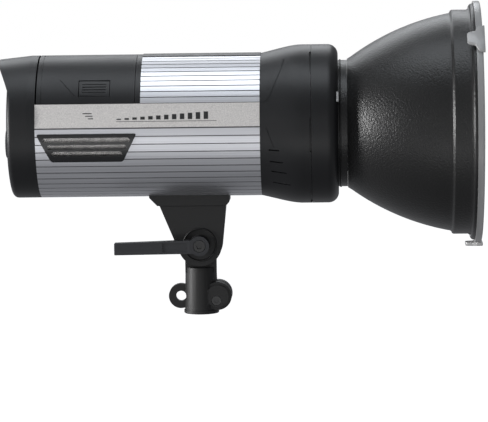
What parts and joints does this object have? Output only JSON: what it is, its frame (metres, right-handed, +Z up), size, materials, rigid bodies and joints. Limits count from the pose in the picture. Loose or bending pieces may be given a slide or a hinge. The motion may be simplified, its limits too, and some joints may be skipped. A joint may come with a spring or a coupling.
{
  "type": "monolight strobe",
  "caption": "Battery studio flash head: ribbed cylinder with lift-off battery, bayonet reflector with diffuser plate, and a clamped tilt bracket with a stand socket.",
  "frame": {"origin": "centre of the stand socket's mouth", "axes": "+Z up along the socket, +X the way the light goes, +Y to the left of a person behind the lamp"},
  "size_m": [0.3716, 0.186, 0.2395],
  "materials": {
    "black_plastic": "fine satin texture",
    "cap_plastic": "fine satin texture",
    "grille_plastic": "semi gloss",
    "ribbed_aluminium": "satin anodised, ribbed",
    "bracket_black": "fine grained powder coat",
    "lever_plastic": "moulded, fine grain",
    "reflector_paint": "orange peel powder coat outside, silver inside",
    "steel": "machined",
    "black_steel": "black oxide",
    "mesh_steel": "woven wire",
    "board": "solder resist",
    "cell_wrap": "shrink wrap",
    "can": "sleeved can",
    "brass": "gold flash",
    "ceramic": "glazed ceramic",
    "frosted_glass": "frosted",
    "tube_glass": "clear quartz",
    "screen_glass": "smoked window",
    "screen": "display",
    "diffuser": "frosted translucent plate",
    "button_rubber": "soft touch",
    "sensor_red": "smoked red dome",
    "lamp_yellow": "phosphor"
  },
  "bodies": {
    "stand_mount": {"stand_socket": "bracket_black", "clamp_bolt": "black_steel"},
    "clamp_knob_body": {"clamp_knob": "lever_plastic"},
    "head": {"bracket_yoke": "bracket_black", "bracket_shoe": "bracket_black", "bracket_screws": "steel", "saddle_plate": "steel", "tilt_nut": "black_steel", "friction_discs": "ceramic", "lower_shell": "ribbed_aluminium", "upper_shell": "ribbed_aluminium", "top_rail": "black_plastic", "collar_band": "black_plastic", "vent_grille_left": "grille_plastic", "vent_grille_right": "grille_plastic", "vent_mesh_left": "mesh_steel", "vent_mesh_right": "mesh_steel", "fan_frame": "black_plastic", "rear_cap": "cap_plastic", "control_panel": "grille_plastic", "panel_screws": "black_steel", "panel_board": "board", "lcd_module": "screen", "lcd_window": "screen_glass", "sync_socket": "steel", "usb_socket": "steel", "slave_sensor": "sensor_red", "battery_bay": "black_plastic", "bay_contacts": "brass", "main_board": "board", "power_board": "board", "capacitors": "can", "capacitor_clamp": "black_plastic", "front_housing": "black_plastic", "bulkhead": "ceramic", "bezel_ring": "black_plastic", "bayonet_ring": "steel", "tube_base": "ceramic", "flash_tube": "tube_glass", "modelling_lamp": "lamp_yellow", "glass_dome": "frosted_glass"},
    "lever_bolt": {"tilt_bolt": "black_steel"},
    "lever_handle": {"tilt_lever": "lever_plastic"},
    "battery_pack": {"battery_case": "black_plastic", "battery_cover": "cap_plastic", "battery_cells": "cell_wrap", "battery_board": "board", "battery_terminals": "brass"},
    "left_latch": {"latch_left": "black_plastic"},
    "right_latch": {"latch_right": "black_plastic"},
    "dial": {"control_dial": "button_rubber"},
    "power_key": {"power_button": "button_rubber"},
    "test_key": {"test_button": "button_rubber"},
    "mode_key": {"mode_button": "button_rubber"},
    "lamp_key": {"lamp_button": "button_rubber"},
    "fan": {"fan_rotor": "black_plastic"},
    "release": {"release_button": "steel"},
    "reflector": {"reflector_neck": "reflector_paint", "reflector_bowl": "reflector_paint", "diffuser_cap": "diffuser"}
  },
  "joints": [
    {"name": "head_tilt", "type": "hinge", "parent": "stand_mount", "child": "head", "pos_m": [0, 0, 0.0545], "axis": [0, 1, 0], "range_deg": [-65, 80]},
    {"name": "clamp_knob_turn", "type": "hinge", "parent": "stand_mount", "child": "clamp_knob_body", "pos_m": [0.012, 0, 0.0104], "axis": [0, 1, 0], "range_deg": [0, 360]},
    {"name": "lever_turn", "type": "hinge", "parent": "head", "child": "lever_bolt", "pos_m": [0, 0, 0.0545], "axis": [0, 1, 0], "range_deg": [-75, 30]},
    {"name": "lever_pull", "type": "slide", "parent": "lever_bolt", "child": "lever_handle", "axis": [0, -1, 0], "range_m": [0, 0.004], "stiffness_N_per_m": 400, "springref_m": -0.003},
    {"name": "battery_lift", "type": "slide", "parent": "head", "child": "battery_pack", "axis": [0, 0, 1], "range_m": [0, 0.06]},
    {"name": "latch_left_press", "type": "slide", "parent": "battery_pack", "child": "left_latch", "axis": [0, -0.8116, -0.5842], "range_m": [0, 0.0018], "stiffness_N_per_m": 900, "springref_m": -0.001},
    {"name": "latch_right_press", "type": "slide", "parent": "battery_pack", "child": "right_latch", "axis": [0, 0.8116, -0.5842], "range_m": [0, 0.0018], "stiffness_N_per_m": 900, "springref_m": -0.001},
    {"name": "dial_spin", "type": "hinge", "parent": "head", "child": "dial", "pos_m": [-0.143, 0, 0.1335], "axis": [1, 0, 0], "continuous": true},
    {"name": "power_press", "type": "slide", "parent": "head", "child": "power_key", "axis": [1, 0, 0], "range_m": [0, 0.001], "stiffness_N_per_m": 600, "springref_m": -0.0008},
    {"name": "test_press", "type": "slide", "parent": "head", "child": "test_key", "axis": [1, 0, 0], "range_m": [0, 0.001], "stiffness_N_per_m": 600, "springref_m": -0.0008},
    {"name": "mode_press", "type": "slide", "parent": "head", "child": "mode_key", "axis": [1, 0, 0], "range_m": [0, 0.001], "stiffness_N_per_m": 600, "springref_m": -0.0008},
    {"name": "lamp_press", "type": "slide", "parent": "head", "child": "lamp_key", "axis": [1, 0, 0], "range_m": [0, 0.001], "stiffness_N_per_m": 600, "springref_m": -0.0008},
    {"name": "fan_spin", "type": "hinge", "parent": "head", "child": "fan", "pos_m": [-0.082, 0.023, 0.1225], "axis": [0, 1, 0], "continuous": true},
    {"name": "release_press", "type": "slide", "parent": "head", "child": "release", "axis": [-1, 0, 0], "range_m": [0, 0.0018], "stiffness_N_per_m": 700, "springref_m": -0.001},
    {"name": "reflector_twist", "type": "hinge", "parent": "head", "child": "reflector", "pos_m": [0.11, 0, 0.1465], "axis": [1, 0, 0], "range_deg": [0, 30]}
  ]
}
